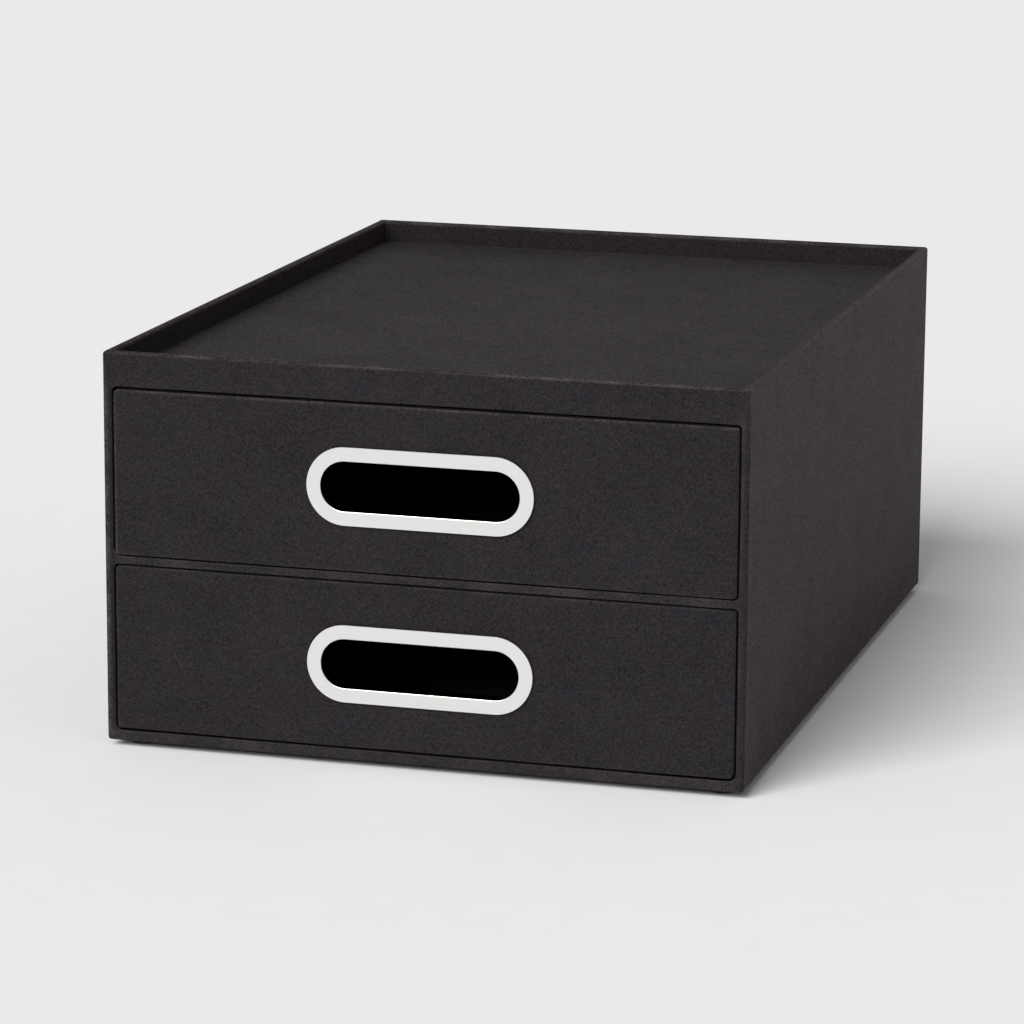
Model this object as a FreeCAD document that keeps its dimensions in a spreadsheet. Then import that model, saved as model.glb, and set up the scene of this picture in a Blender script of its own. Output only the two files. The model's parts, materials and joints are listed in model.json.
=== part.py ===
"""Desktop drawer organizer: a cloth-covered board case with an open tray on top and two drawers.

Millimetres. +Z is up, -Y is the front, and the origin is under the middle, on the surface it stands on.
"""
import FreeCAD, Part
import math
import os
import Sketcher

DOC = FreeCAD.newDocument("drawer_organizer")
NODES = []
TOUCH = 1e-4  # two places nearer than this, in millimetres, are one

# Driving sizes: name, millimetres, what it is
SIZES = [
    ("case_width", 241.0, "case over its cloth, side to side"),
    ("case_depth", 330.5, "case over its cloth, front to back"),
    ("bay_height", 62.9, "clear height of each drawer bay"),
    ("tray_depth", 9.0, "tray floor below the top of its rims"),
    ("skin", 0.4, "bookcloth or lining paper with its glue"),
    ("case_board", 2.3, "board of the sides, back and front rail"),
    ("base_board", 3.6, "board under the lower drawer"),
    ("shelf_board", 2.0, "board between the drawers"),
    ("top_board", 3.2, "board under the tray"),
    ("case_turn_in", 14.0, "margin of cloth turned round the case's edges"),
    ("rim_round", 0.8, "outer round of a board's edge at the rim"),
    ("rim_inner_round", 0.5, "inner round of a board's edge at the rim"),
    ("base_round", 1.6, "round of the side boards' lowest edge"),
    ("least_flat", 0.2, "flat that stays beside the rounds of a board's edge"),
    ("case_fold", 0.5, "bevel of the cloth's fold round the case's front and back"),
    ("opening_fold", 0.4, "bevel of the cloth's fold into each bay"),
    ("opening_corner", 2.0, "corner radius of each bay at the front"),
    ("drawer_side_gap", 0.7, "play beside a drawer, each side"),
    ("drawer_top_gap", 0.8, "play above a drawer"),
    ("drawer_bottom_gap", 0.3, "play under a drawer"),
    ("drawer_back_gap", 2.0, "play behind a closed drawer"),
    ("front_board", 2.5, "board of a drawer's front"),
    ("wall_board", 2.0, "board of a drawer's sides and back"),
    ("floor_board", 2.0, "board of a drawer's floor"),
    ("drawer_turn_in", 12.0, "margin of cloth turned round a drawer's edges"),
    ("front_corner", 1.8, "corner radius of a drawer's front over its cloth"),
    ("front_fold", 0.5, "bevel of the cloth's fold round a drawer's front"),
    ("wall_round", 1.2, "round of a drawer's long and back edges"),
    ("wall_top_round", 0.3, "round inside a drawer's top edge"),
    ("slot_length", 74.5, "finger slot inside its metal, end to end"),
    ("slot_height", 18.3, "finger slot inside its metal, top to bottom"),
    ("slot_rise", 0.5, "finger slot's centre above the middle of the drawer's front"),
    ("flange_width", 5.3, "metal face round the slot"),
    ("flange_thickness", 0.9, "metal face, how far it stands proud of the cloth"),
    ("flange_edge", 0.25, "bevel of the metal face's outer edge"),
    ("slot_bevel", 0.5, "polished bevel of the metal face's inner edge"),
    ("collar_wall", 0.8, "wall of the metal collar in the slot"),
    ("collar_reach", 1.6, "collar past the lining inside the drawer"),
    ("collar_clearance", 0.2, "play between the collar and the slot in the board"),
    ("ring_clearance", 0.1, "play between the collar and its back ring"),
    ("ring_width", 4.0, "back ring, across its flat"),
    ("ring_thickness", 1.2, "back ring, front to back"),
    ("foot_height", 2.4, "rubber foot"),
    ("foot_radius", 5.25, "rubber foot where it is glued on"),
    ("foot_taper", 0.35, "how much smaller the foot's tread is, in radius"),
    ("foot_bevel", 0.5, "bevel of the foot's tread edge"),
    ("foot_inset", 10.2, "foot's centre from the case's sides, front and back"),
]

# The most that a fold's bevel takes off the cloth at the edge of the board under it
FOLD_LIMIT = "1.3 * Dims.skin"

# Sizes that follow: name, formula
LAYOUT = [
    ("side_panel", "Dims.case_board + 2 * Dims.skin"),
    ("base_panel", "Dims.base_board + 2 * Dims.skin"),
    ("shelf_panel", "Dims.shelf_board + 2 * Dims.skin"),
    ("top_panel", "Dims.top_board + 2 * Dims.skin"),
    ("half_width", "Dims.case_width / 2"),
    ("board_half", "Dims.case_width / 2 - Dims.skin - Dims.case_board"),
    ("bay_half", "Dims.case_width / 2 - Dims.case_board - 2 * Dims.skin"),
    ("front_y", "-(Dims.case_depth - Dims.flange_thickness) / 2"),
    ("board_front_y", "front_y + Dims.skin"),
    ("rail_back_y", "board_front_y + Dims.case_board"),
    ("turn_in_y", "front_y + Dims.case_turn_in"),
    ("back_y", "front_y + Dims.case_depth"),
    ("back_board_y", "back_y - Dims.skin - Dims.case_board"),
    ("bay_back_y", "back_y - side_panel"),
    ("base_z", "Dims.foot_height"),
    ("lower_bay_z", "base_z + base_panel"),
    ("shelf_z", "lower_bay_z + Dims.bay_height"),
    ("upper_bay_z", "shelf_z + shelf_panel"),
    ("roof_z", "upper_bay_z + Dims.bay_height"),
    ("tray_z", "roof_z + top_panel"),
    ("tray_board_z", "tray_z - Dims.skin"),
    ("rim_z", "tray_z + Dims.tray_depth"),
    ("case_height", "rim_z - base_z"),
    ("rim_edge", "min(Dims.rim_round; (Dims.case_board - Dims.least_flat) / 2)"),
    ("rim_inner_edge", "min(Dims.rim_inner_round; (Dims.case_board - Dims.least_flat) / 2)"),
    ("base_edge", "min(Dims.base_round; Dims.case_board - Dims.least_flat)"),
    ("drawer_half", "bay_half - Dims.drawer_side_gap"),
    ("drawer_height", "Dims.bay_height - Dims.drawer_bottom_gap - Dims.drawer_top_gap"),
    ("lower_drawer_z", "lower_bay_z + Dims.drawer_bottom_gap"),
    ("upper_drawer_z", "upper_bay_z + Dims.drawer_bottom_gap"),
    ("front_panel", "Dims.front_board + 2 * Dims.skin"),
    ("wall_panel", "Dims.wall_board + 2 * Dims.skin"),
    ("floor_panel", "Dims.floor_board + 2 * Dims.skin"),
    ("wall_y", "front_y + front_panel"),
    ("drawer_back_y", "bay_back_y - Dims.drawer_back_gap"),
    ("drawer_inner_half", "drawer_half - wall_panel"),
    ("wall_edge", "min(Dims.wall_round; Dims.wall_board - Dims.wall_top_round - Dims.least_flat)"),
    ("slot_z", "drawer_height / 2 + Dims.slot_rise"),
    ("hole_length", "Dims.slot_length + 2 * Dims.collar_wall + 2 * Dims.collar_clearance"),
    ("hole_height", "Dims.slot_height + 2 * Dims.collar_wall + 2 * Dims.collar_clearance"),
    ("ring_y", "front_panel + Dims.skin"),
    ("collar_length", "ring_y + Dims.collar_reach"),
    ("ring_seat", "Dims.collar_wall + Dims.ring_clearance"),
]


def fill_sheets():
    """Write the driving sizes as plain numbers, and the sizes that follow as formulas."""
    dims = DOC.addObject("Spreadsheet::Sheet", "Dims")
    for row, (name, millimetres, meaning) in enumerate(SIZES, start=1):
        dims.set(f"A{row}", name)
        dims.set(f"B{row}", str(millimetres))
        dims.setAlias(f"B{row}", name)
        dims.set(f"C{row}", meaning)
    layout = DOC.addObject("Spreadsheet::Sheet", "Layout")
    for row, (name, formula) in enumerate(LAYOUT, start=1):
        layout.set(f"A{row}", name)
        layout.setAlias(f"B{row}", name)
        layout.set(f"B{row}", "=" + formula)
    DOC.recompute()


def size(formula):
    """The present value of a formula on the sheets, in millimetres."""
    return float(DOC.getObject("Layout").evalExpression(formula))


def place(piece, x="0", y="0", z="0"):
    """Bind where a piece stands to the sheets."""
    for axis, formula in zip("xyz", (x, y, z)):
        piece.setExpression(f"Placement.Base.{axis}", formula)


def node(piece):
    """Count a piece among the sub-parts that are written out, and return it."""
    NODES.append(piece)
    return piece


def box(label, x, y, z, wide, deep, high):
    """A plain block with its lowest corner at x, y, z."""
    block = DOC.addObject("Part::Box", label)
    block.setExpression("Length", wide)
    block.setExpression("Width", deep)
    block.setExpression("Height", high)
    place(block, x, y, z)
    return block


def wedge(label, half, y, z, mitre, high):
    """A block in front of y whose ends are mitred: full width at y, narrower by the mitre behind."""
    prism = DOC.addObject("Part::Wedge", label)
    prism.setExpression("Xmin", f"-({half})")
    prism.setExpression("Xmax", half)
    prism.setExpression("X2min", f"-({half}) + {mitre}")
    prism.setExpression("X2max", f"{half} - {mitre}")
    prism.setExpression("Ymax", mitre)
    prism.setExpression("Zmax", high)
    prism.setExpression("Z2max", high)
    for low in ("Ymin", "Zmin", "Z2min"):
        setattr(prism, low, 0)
    place(prism, "0", y, z)
    return prism


def fuse(label, pieces):
    """One tool made of several solids."""
    joined = DOC.addObject("Part::MultiFuse", label)
    joined.Shapes = pieces
    return joined


def cut(label, base, tool):
    """What is left of base outside tool."""
    rest = DOC.addObject("Part::Cut", label)
    rest.Base = base
    rest.Tool = tool
    return rest


def common(label, base, tool):
    """What base and tool share."""
    shared = DOC.addObject("Part::Common", label)
    shared.Base = base
    shared.Tool = tool
    return shared


def new_sketch(body, name, plane):
    """An empty sketch on one of the body's own origin planes."""
    sketch = body.newObject("Sketcher::SketchObject", name)
    origin = [part for part in body.Origin.OriginFeatures if part.Role == plane][0]
    sketch.AttachmentSupport = (origin, [""])
    sketch.MapMode = "FlatFace"
    return sketch


def bind(sketch, name, constraint, formula):
    """Add a named constraint and tie its value to the sheets."""
    number = sketch.addConstraint(constraint)
    sketch.renameConstraint(number, name)
    sketch.setExpression(f"Constraints.{name}", formula)


def pin(sketch, name, geometry, point, across, up):
    """Fix a point of the sketch at a place that follows the sheets."""
    for axis, kind, formula in (("x", "DistanceX", across), ("y", "DistanceY", up)):
        constraint = Sketcher.Constraint(kind, -1, 1, geometry, point, size(formula))
        bind(sketch, f"{name}_{axis}", constraint, formula)


def polygon(body, name, plane, corners):
    """A closed outline of straight lines whose corners follow the sheets."""
    sketch = new_sketch(body, name, plane)
    spots = [FreeCAD.Vector(size(across), size(up), 0) for across, up in corners]
    for start, end in zip(spots, spots[1:] + spots[:1]):
        sketch.addGeometry(Part.LineSegment(start, end))
    for number, (across, up) in enumerate(corners):
        before = (number - 1) % len(corners)
        sketch.addConstraint(Sketcher.Constraint("Coincident", before, 2, number, 1))
        pin(sketch, f"corner{number}", number, 1, across, up)
    return sketch


def arc_chain(sketch, arcs):
    """Join arcs, each a centre, a radius and a start and end angle, by tangent lines, into a loop."""
    ends = []
    for number, (across, up, radius, start, end) in enumerate(arcs):
        centre = FreeCAD.Vector(size(across), size(up), 0)
        circle = Part.Circle(centre, FreeCAD.Vector(0, 0, 1), size(radius))
        arc = Part.ArcOfCircle(circle, start, end)
        sketch.addGeometry(arc)
        ends.append((arc.StartPoint, arc.EndPoint))
        pin(sketch, f"centre{number}", number, 3, across, up)
        bind(sketch, f"radius{number}", Sketcher.Constraint("Radius", number, size(radius)), radius)
    for number, (_, end) in enumerate(ends):
        after = (number + 1) % len(arcs)
        line = sketch.addGeometry(Part.LineSegment(end, ends[after][0]))
        sketch.addConstraint(Sketcher.Constraint("Tangent", number, 2, line, 1))
        sketch.addConstraint(Sketcher.Constraint("Tangent", line, 2, after, 1))
    return sketch


def rounded_rectangle(body, name, plane, half, low, high, low_corner, high_corner):
    """A rectangle about the middle, from low to high, with its own radius at the low and high corners."""
    quarter = math.pi / 2
    corners = [
        (f"{half} - {low_corner}", f"{low} + {low_corner}", low_corner, 3 * quarter, 4 * quarter),
        (f"{half} - {high_corner}", f"{high} - {high_corner}", high_corner, 0.0, quarter),
        (f"{high_corner} - {half}", f"{high} - {high_corner}", high_corner, quarter, 2 * quarter),
        (f"{low_corner} - {half}", f"{low} + {low_corner}", low_corner, 2 * quarter, 3 * quarter),
    ]
    return arc_chain(new_sketch(body, name, plane), corners)


def stadium(body, name, plane, length, height, middle):
    """A slot's outline: two half circles joined by straight runs."""
    quarter = math.pi / 2
    reach = f"({length} - {height}) / 2"
    ends = [
        (reach, middle, f"{height} / 2", -quarter, quarter),
        (f"-{reach}", middle, f"{height} / 2", quarter, 3 * quarter),
    ]
    return arc_chain(new_sketch(body, name, plane), ends)


def feature(body, kind, name, sketch, length=None, away=False):
    """A pad or pocket of a sketch; away turns it against its usual direction."""
    made = body.newObject(f"PartDesign::{kind}", name)
    made.Profile = sketch
    made.Reversed = away
    if length is None:
        made.Type = "ThroughAll"
    else:
        made.setExpression("Length", length)
    DOC.recompute()
    return made


def pocket(body, name, sketch, length=None, away=False):
    """A pocket that is checked to remove something."""
    before = body.Shape.Volume
    made = feature(body, "Pocket", name, sketch, length, away)
    if body.Shape.Volume > before - TOUCH:
        raise RuntimeError(f"{body.Label}: pocket {name} removes nothing")
    return made


def soften(body, kind, name, amount, wanted):
    """A fillet or chamfer along the edges of the body so far that wanted picks."""
    base = body.Tip
    edges = [f"Edge{number}" for number, edge in enumerate(base.Shape.Edges, start=1) if wanted(edge)]
    made = body.newObject(f"PartDesign::{kind}", name)
    made.Base = (base, edges)
    made.setExpression("Radius" if kind == "Fillet" else "Size", amount)
    DOC.recompute()
    return made


def within(edge, axis, low, high):
    """Whether the whole edge lies between two planes across an axis."""
    reach = (getattr(edge.BoundBox, axis + "Min"), getattr(edge.BoundBox, axis + "Max"))
    return size(low) - TOUCH <= reach[0] and reach[1] <= size(high) + TOUCH


def flat_at(edge, axis, formula):
    """Whether the whole edge lies in one plane across an axis."""
    return within(edge, axis, formula, formula)


def board(label, x, y, z, wide, deep, high, rounds=()):
    """A cut board with its lowest corner at x, y, z.

    rounds lists radii, each with the edges that it softens, named by the two faces that meet there.
    """
    body = DOC.addObject("PartDesign::Body", label)
    corners = [("0", "0"), (wide, "0"), (wide, deep), ("0", deep)]
    feature(body, "Pad", label + "_sheet", polygon(body, label + "_outline", "XY_Plane", corners), high)
    faces = {"left": ("X", "0"), "right": ("X", wide), "front": ("Y", "0"),
             "back": ("Y", deep), "bottom": ("Z", "0"), "top": ("Z", high)}
    for number, (radius, *pairs) in enumerate(rounds):
        soft = [[faces[side] for side in pair.split()] for pair in pairs]
        soften(body, "Fillet", f"{label}_round{number}", radius,
               lambda edge: any(all(flat_at(edge, *face) for face in pair) for pair in soft))
    place(body, x, y, z)
    return node(body)


def case_boards():
    """The seven boards of the case, butted together inside the cloth."""
    side_deep = "Dims.case_depth - 2 * Dims.skin"
    side_high = "Layout.case_height - 2 * Dims.skin"
    between = "2 * Layout.board_half"
    low = "Layout.base_z + Dims.skin"
    behind_front = "Layout.back_board_y - Layout.board_front_y"
    boards = {}
    for side, outer, inner, x in (("left", "left", "right", "Dims.skin - Layout.half_width"),
                                  ("right", "right", "left", "Layout.board_half")):
        rounds = [("Layout.rim_edge", f"{outer} top"), ("Layout.rim_inner_edge", f"{inner} top"),
                  ("Layout.base_edge", f"{outer} bottom")]
        boards[side] = board(f"case_{side}_board", x, "Layout.board_front_y", low,
                             "Dims.case_board", side_deep, side_high, rounds)
    boards["back"] = board("case_back_board", "-Layout.board_half", "Layout.back_board_y", low,
                           between, "Dims.case_board", side_high,
                           [("Layout.rim_edge", "back top"), ("Layout.rim_inner_edge", "front top")])
    boards["base"] = board("case_base_board", "-Layout.board_half", "Layout.board_front_y", low,
                           between, behind_front, "Dims.base_board")
    boards["shelf"] = board("case_shelf_board", "-Layout.board_half", "Layout.board_front_y",
                            "Layout.shelf_z + Dims.skin", between, behind_front, "Dims.shelf_board")
    boards["top"] = board("case_top_board", "-Layout.board_half", "Layout.rail_back_y",
                          "Layout.roof_z + Dims.skin", between,
                          "Layout.back_board_y - Layout.rail_back_y", "Dims.top_board")
    boards["rail"] = board("case_front_rail_board", "-Layout.board_half", "Layout.board_front_y",
                           "Layout.roof_z + Dims.skin", between, "Dims.case_board",
                           "Layout.rim_z - Layout.roof_z - 2 * Dims.skin",
                           [("Layout.rim_edge", "front top"), ("Layout.rim_inner_edge", "back top")])
    return boards


def case_form():
    """The case as its cloth shapes it: folded edges, the tray and the mouths of the two bays."""
    body = DOC.addObject("PartDesign::Body", "case_form")
    outline = rounded_rectangle(body, "case_outline", "XZ_Plane", "Layout.half_width", "0",
                                "Layout.case_height", "(Layout.base_edge + Dims.skin)",
                                "(Layout.rim_edge + Dims.skin)")
    feature(body, "Pad", "case_block", outline, "Dims.case_depth", away=True)
    soften(body, "Chamfer", "case_folds", f"min(Dims.case_fold; {FOLD_LIMIT})",
           lambda edge: flat_at(edge, "Y", "0") or flat_at(edge, "Y", "Dims.case_depth"))
    tray_back = "Dims.case_depth - Layout.side_panel"
    plan = [("-Layout.bay_half", "Layout.side_panel"), ("Layout.bay_half", "Layout.side_panel"),
            ("Layout.bay_half", tray_back), ("-Layout.bay_half", tray_back)]
    tray = polygon(body, "tray_plan", "XY_Plane", plan)
    tray.setExpression("AttachmentOffset.Base.z", "Layout.case_height")
    pocket(body, "tray_recess", tray, "Dims.tray_depth")
    soften(body, "Fillet", "rim_inner_fold", "Layout.rim_inner_edge + Dims.skin",
           lambda edge: flat_at(edge, "Z", "Layout.case_height")
           and within(edge, "X", "-Layout.bay_half", "Layout.bay_half")
           and within(edge, "Y", "Layout.side_panel", tray_back))
    for level in ("lower", "upper"):
        low = f"(Layout.{level}_bay_z - Layout.base_z)"
        mouth = rounded_rectangle(body, f"{level}_mouth", "XZ_Plane", "Layout.bay_half", low,
                                  f"({low} + Dims.bay_height)", "Dims.opening_corner",
                                  "Dims.opening_corner")
        pocket(body, f"{level}_opening", mouth, "Dims.case_turn_in")
    soften(body, "Chamfer", "opening_folds", f"min(Dims.opening_fold; {FOLD_LIMIT})",
           lambda edge: flat_at(edge, "Y", "0")
           and within(edge, "X", "-Layout.bay_half", "Layout.bay_half")
           and within(edge, "Z", "Layout.base_panel", "Layout.roof_z - Layout.base_z"))
    place(body, "0", "Layout.front_y", "Layout.base_z")
    return body


def front_region():
    """Where the front's own sheet of cloth reaches: mitred at the corners, turned in behind."""
    below_tray = "Layout.tray_board_z - Layout.base_z"
    face = wedge("front_region_face", "Layout.half_width", "Layout.front_y", "Layout.base_z",
                 "Dims.skin", below_tray)
    margin = box("front_region_margin", "Dims.skin - Layout.half_width", "Layout.board_front_y",
                 "Layout.base_z", "Dims.case_width - 2 * Dims.skin",
                 "Dims.case_turn_in - Dims.skin", below_tray)
    rim = wedge("front_region_rim", "Layout.half_width", "Layout.front_y", "Layout.tray_board_z",
                "Layout.side_panel", "Dims.tray_depth + Dims.skin")
    return fuse("front_region", [face, margin, rim])


def bay_lining(level):
    """The paper tube that lines a bay behind the cloth's margin, closed at the back."""
    depth = "Layout.back_board_y - Layout.turn_in_y"
    outer = box(f"{level}_bay_paper", "-Layout.board_half", "Layout.turn_in_y",
                f"Layout.{level}_bay_z - Dims.skin", "2 * Layout.board_half", depth,
                "Dims.bay_height + 2 * Dims.skin")
    inner = box(f"{level}_bay_clear", "-Layout.bay_half", "Layout.turn_in_y",
                f"Layout.{level}_bay_z", "2 * Layout.bay_half", f"{depth} - Dims.skin",
                "Dims.bay_height")
    return node(cut(f"{level}_bay_lining", outer, inner))


def case_covers(boards):
    """The cloth and paper that cover the case, each sheet a piece of its own."""
    form = case_form()
    front = front_region()
    tray_floor = node(box("tray_floor_cover", "-Layout.bay_half", "Layout.front_y + Layout.side_panel",
                          "Layout.tray_board_z", "2 * Layout.bay_half",
                          "Dims.case_depth - 2 * Layout.side_panel", "Dims.skin"))
    base_sheet = node(box("case_base_sheet", "Dims.case_turn_in - Layout.half_width",
                          "Layout.turn_in_y", "Layout.base_z",
                          "Dims.case_width - 2 * Dims.case_turn_in",
                          "Dims.case_depth - 2 * Dims.case_turn_in", "Dims.skin"))
    inside = box("case_inside", "-Layout.board_half", "Layout.board_front_y",
                 "Layout.base_z + Dims.skin", "2 * Layout.board_half",
                 "Layout.back_board_y - Layout.board_front_y",
                 "Layout.tray_board_z - Layout.base_z - Dims.skin")
    front_tool = fuse("front_cover_inside", list(boards.values()) + [tray_floor])
    node(cut("case_front_cover", common("front_cloth_form", form, front), front_tool))
    outer_tool = fuse("outer_cover_inside", [front, boards["left"], boards["right"], boards["back"],
                                             inside, tray_floor, base_sheet])
    node(cut("case_outer_cover", form, outer_tool))
    for level in ("lower", "upper"):
        bay_lining(level)


def foot(name, x, y):
    """A moulded rubber foot: a flat disc that narrows to a bevelled tread."""
    body = DOC.addObject("PartDesign::Body", name)
    tread = "Dims.foot_radius - Dims.foot_taper"
    corners = [("0", "0"), (f"{tread} - Dims.foot_bevel", "0"), (tread, "Dims.foot_bevel"),
               ("Dims.foot_radius", "Dims.foot_height"), ("0", "Dims.foot_height")]
    profile = polygon(body, name + "_profile", "XZ_Plane", corners)
    disc = body.newObject("PartDesign::Revolution", name + "_disc")
    disc.Profile = profile
    disc.ReferenceAxis = (profile, ["V_Axis"])
    place(body, x, y)
    return node(body)


def feet():
    """Four feet near the corners of the base."""
    reach = "Layout.half_width - Dims.foot_inset"
    rows = (("front", "Layout.front_y + Dims.foot_inset"), ("back", "Layout.back_y - Dims.foot_inset"))
    for row, y in rows:
        for side, x in (("left", f"-({reach})"), ("right", reach)):
            foot(f"foot_{row}_{side}", x, y)


def front_plate(level, kind, inset, thick, fold=None):
    """A drawer front's board, or its cloth's outer form where it has a fold: a plate with the slot.

    inset is how far the plate's edges lie inside the drawer's outline, all round and in front.
    """
    label = f"{level}_front_{kind}"
    body = DOC.addObject("PartDesign::Body", label)
    high = f"(Layout.drawer_height - 2 * {inset})"
    corner = f"(Dims.front_corner - {inset})"
    outline = rounded_rectangle(body, label + "_outline", "XZ_Plane", f"(Layout.drawer_half - {inset})",
                                "0", high, corner, corner)
    feature(body, "Pad", label + "_plate", outline, thick, away=True)
    if fold:
        soften(body, "Chamfer", label + "_fold", fold, lambda edge: flat_at(edge, "Y", "0"))
    hole = stadium(body, label + "_hole", "XZ_Plane", "Layout.hole_length", "Layout.hole_height",
                   f"(Layout.slot_z - {inset})")
    pocket(body, label + "_slot", hole)
    place(body, "0", f"Layout.front_y + {inset}", f"Layout.{level}_drawer_z + {inset}")
    return body


def swept_ring(label, path_length, path_height, section, y, z):
    """A metal ring: its section, as (depth, distance out from the path), swept round a stadium."""
    body = DOC.addObject("PartDesign::Body", label)
    path = stadium(body, label + "_path", "XZ_Plane", path_length, path_height, "0")
    corners = [(depth, f"{path_height} / 2 + {out}") for depth, out in section]
    profile = polygon(body, label + "_section", "YZ_Plane", corners)
    DOC.recompute()
    sweep = body.newObject("PartDesign::AdditivePipe", label + "_sweep")
    sweep.Profile = profile
    sweep.Spine = (path, [])
    place(body, "0", y, z)
    return node(body)


def handle(level, middle_z):
    """The metal plate with its collar through the board, and the ring that holds it from inside."""
    plate = [
        ("0", "Dims.flange_width"),
        ("Dims.flange_edge - Dims.flange_thickness", "Dims.flange_width"),
        ("-Dims.flange_thickness", "Dims.flange_width - Dims.flange_edge"),
        ("-Dims.flange_thickness", "Dims.slot_bevel"),
        ("Dims.slot_bevel - Dims.flange_thickness", "0"),
        ("Layout.collar_length", "0"),
        ("Layout.collar_length", "Dims.collar_wall"),
        ("0", "Dims.collar_wall"),
    ]
    swept_ring(f"{level}_handle_plate", "Dims.slot_length", "Dims.slot_height", plate,
               "Layout.front_y", middle_z)
    ring = [
        ("Layout.ring_y", "Layout.ring_seat"),
        ("Layout.ring_y", "Layout.ring_seat + Dims.ring_width"),
        ("Layout.ring_y + Dims.ring_thickness", "Layout.ring_seat + Dims.ring_width"),
        ("Layout.ring_y + Dims.ring_thickness", "Layout.ring_seat"),
    ]
    swept_ring(f"{level}_handle_back_ring", "Dims.slot_length", "Dims.slot_height", ring,
               "Layout.front_y", middle_z)


def drawer_walls(level, z):
    """The side, back and floor boards of a drawer, butted behind its front."""
    boards = []
    length = "Layout.drawer_back_y - Dims.skin - Layout.wall_y"
    high = "Layout.drawer_height - 2 * Dims.skin"
    low = f"{z} + Dims.skin"
    inner = "(Layout.drawer_half - Dims.skin - Dims.wall_board)"
    for side, x in (("left", "Dims.skin - Layout.drawer_half"), ("right", inner)):
        rounds = [("Layout.wall_edge", f"{side} top", f"{side} bottom", "back top", "back bottom")]
        boards.append(board(f"{level}_{side}_wall_board", x, "Layout.wall_y", low,
                            "Dims.wall_board", length, high, rounds))
    back_y = "Layout.drawer_back_y - Dims.skin - Dims.wall_board"
    boards.append(board(f"{level}_back_wall_board", f"-{inner}", back_y, low, f"2 * {inner}",
                        "Dims.wall_board", high,
                        [("Layout.wall_edge", "back top", "back bottom")]))
    boards.append(board(f"{level}_floor_board", f"-{inner}", "Layout.wall_y", low, f"2 * {inner}",
                        f"{length} - Dims.wall_board", "Dims.floor_board"))
    return boards


def drawer_lining(level, z):
    """Paper over the floor, up the walls to the turned-in cloth, and over the back of the front."""
    body = DOC.addObject("PartDesign::Body", f"{level}_drawer_lining")
    half = "(Layout.drawer_inner_half + Dims.skin)"
    deep = "(Layout.drawer_back_y - Dims.skin - Dims.wall_board - Layout.wall_y)"
    high = "(Layout.drawer_height - Dims.drawer_turn_in - Dims.skin - Dims.floor_board)"
    outline = [(f"-{half}", "0"), (half, "0"), (half, deep), (f"-{half}", deep)]
    block = polygon(body, f"{level}_lining_outline", "XY_Plane", outline)
    feature(body, "Pad", f"{level}_lining_block", block, high)
    clear = [("-Layout.drawer_inner_half", "Dims.skin"), ("Layout.drawer_inner_half", "Dims.skin"),
             ("Layout.drawer_inner_half", f"{deep} - Dims.skin"),
             ("-Layout.drawer_inner_half", f"{deep} - Dims.skin")]
    hollow = polygon(body, f"{level}_lining_clear", "XY_Plane", clear)
    hollow.setExpression("AttachmentOffset.Base.z", high)
    pocket(body, f"{level}_lining_hollow", hollow, f"{high} - Dims.skin")
    hole = stadium(body, f"{level}_lining_hole", "XZ_Plane", "Layout.hole_length",
                   "Layout.hole_height", "Layout.slot_z - Dims.skin - Dims.floor_board")
    pocket(body, f"{level}_lining_slot", hole, "2 * Dims.skin")
    place(body, "0", "Layout.wall_y", f"{z} + Dims.skin + Dims.floor_board")
    return node(body)


def wall_form(level, z):
    """The drawer's walls as their cloth shapes them: soft long edges, outside and along the top."""
    body = DOC.addObject("PartDesign::Body", f"{level}_wall_form")
    deep = "(Layout.drawer_back_y - Layout.wall_y)"
    high = "Layout.drawer_height"
    outline = [("-Layout.drawer_half", "0"), ("Layout.drawer_half", "0"),
               ("Layout.drawer_half", deep), ("-Layout.drawer_half", deep)]
    block = polygon(body, f"{level}_wall_outline", "XY_Plane", outline)
    feature(body, "Pad", f"{level}_wall_block", block, high)
    soften(body, "Fillet", f"{level}_wall_folds", "Layout.wall_edge + Dims.skin",
           lambda edge: not flat_at(edge, "Y", "0")
           and (flat_at(edge, "Z", "0") or flat_at(edge, "Z", high)))
    clear = [("-Layout.drawer_inner_half", "-Dims.skin"), ("Layout.drawer_inner_half", "-Dims.skin"),
             ("Layout.drawer_inner_half", f"{deep} - Layout.wall_panel"),
             ("-Layout.drawer_inner_half", f"{deep} - Layout.wall_panel")]
    hollow = polygon(body, f"{level}_wall_clear", "XY_Plane", clear)
    hollow.setExpression("AttachmentOffset.Base.z", high)
    pocket(body, f"{level}_wall_hollow", hollow, f"{high} - Layout.floor_panel")
    soften(body, "Fillet", f"{level}_wall_top_fold", "Dims.wall_top_round + Dims.skin",
           lambda edge: flat_at(edge, "Z", high)
           and within(edge, "X", "-Layout.drawer_inner_half", "Layout.drawer_inner_half")
           and within(edge, "Y", "0", f"{deep} - Layout.wall_panel"))
    place(body, "0", "Layout.wall_y", z)
    return body


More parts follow.
